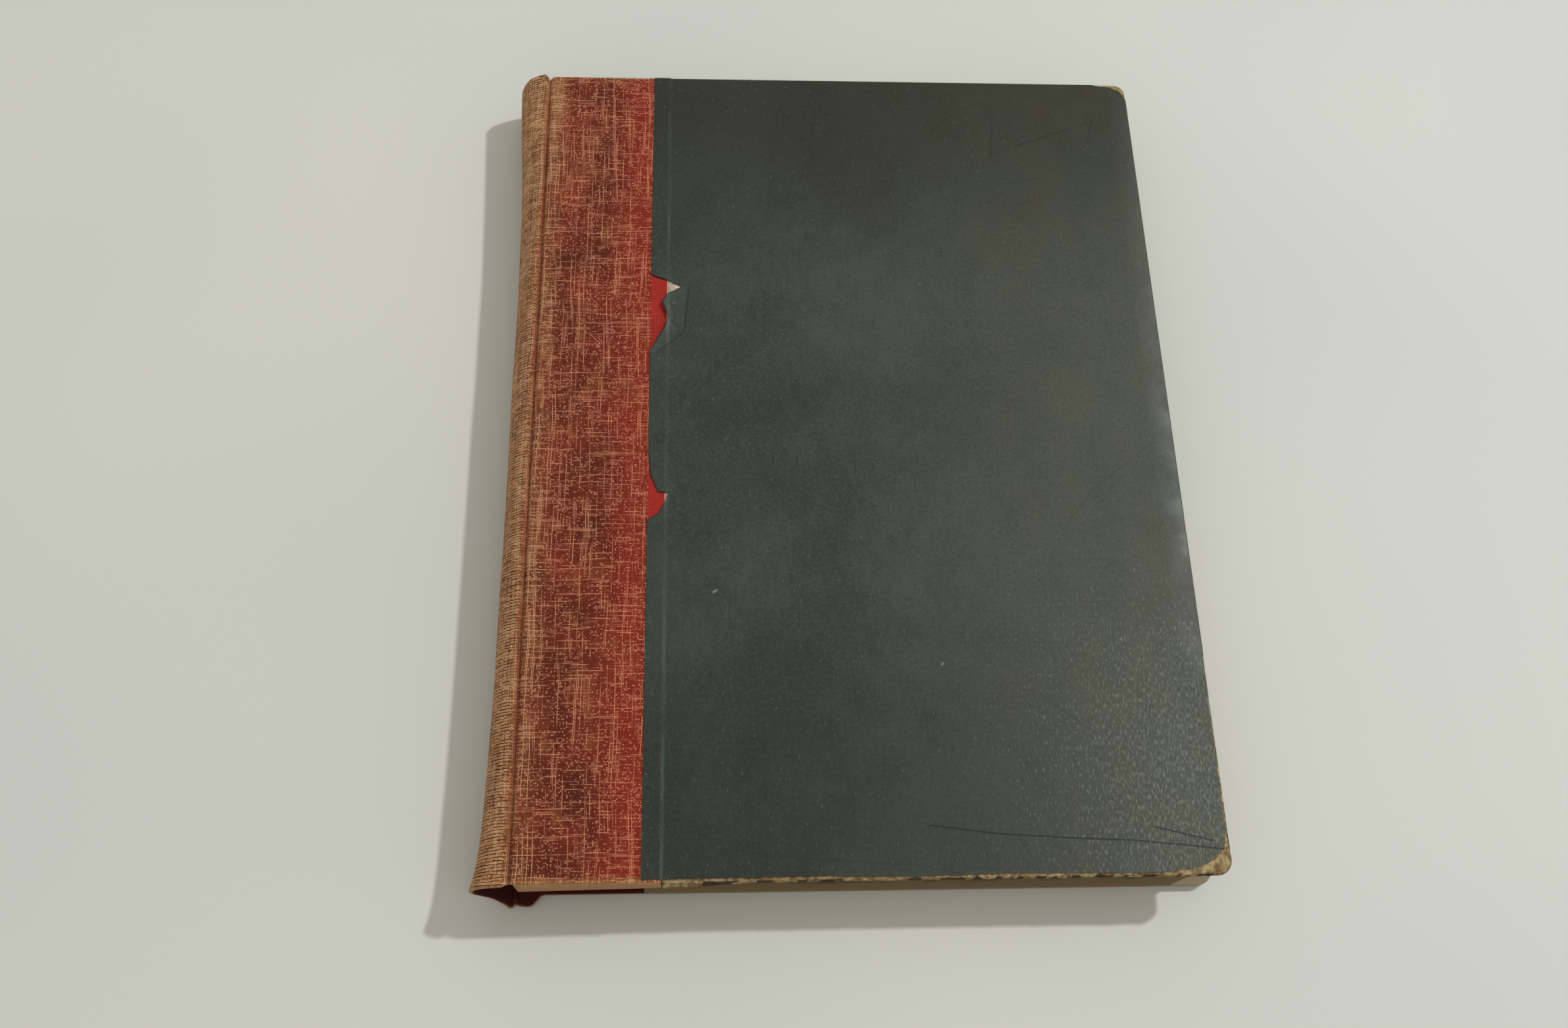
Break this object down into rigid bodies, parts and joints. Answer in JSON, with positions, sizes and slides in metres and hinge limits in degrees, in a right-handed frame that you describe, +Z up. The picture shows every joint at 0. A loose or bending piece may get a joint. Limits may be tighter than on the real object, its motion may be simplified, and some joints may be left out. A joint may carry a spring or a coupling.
{
  "type": "hardback book",
  "caption": "Quarter-bound hardback book with a cloth spine, paper sides, rounded and backed pages and two covers that open.",
  "frame": {"origin": "centre of the back board, on the outer face of the back cover that the book rests on", "axes": "+X from the spine to the fore edge, +Y up the page from tail to head, +Z up from the back cover to the front cover"},
  "size_m": [0.1973, 0.2552, 0.021],
  "materials": {
    "pages": "uncoated book paper, toned at the edges",
    "mull": "open cotton weave, sized",
    "lining_paper": "brown kraft",
    "liner_card": "thin grey card",
    "bookcloth": "plain-weave book cloth, rubbed",
    "board": "strawboard",
    "side_paper": "dark green coated paper, semi-gloss",
    "endpaper": "uncoated, toned"
  },
  "bodies": {
    "page_block": {"text_block": "pages", "spine_mull": "mull", "spine_lining": "lining_paper", "spine_liner": "liner_card", "spine_cloth": "bookcloth"},
    "front_cover": {"front_board": "board", "front_cloth": "bookcloth", "front_side_paper": "side_paper", "front_pastedown": "endpaper", "front_mull_wing": "mull"},
    "back_cover": {"back_board": "board", "back_cloth": "bookcloth", "back_side_paper": "side_paper", "back_pastedown": "endpaper", "back_mull_wing": "mull"}
  },
  "joints": [
    {"name": "front_cover_hinge", "type": "hinge", "parent": "page_block", "child": "front_cover", "pos_m": [-0.09345, 0, 0.021], "axis": [0, -1, 0], "range_deg": [0, 178]},
    {"name": "back_cover_hinge", "type": "hinge", "parent": "page_block", "child": "back_cover", "pos_m": [-0.09345, 0, -0.0002], "axis": [0, 1, 0], "range_deg": [0, 178]}
  ]
}
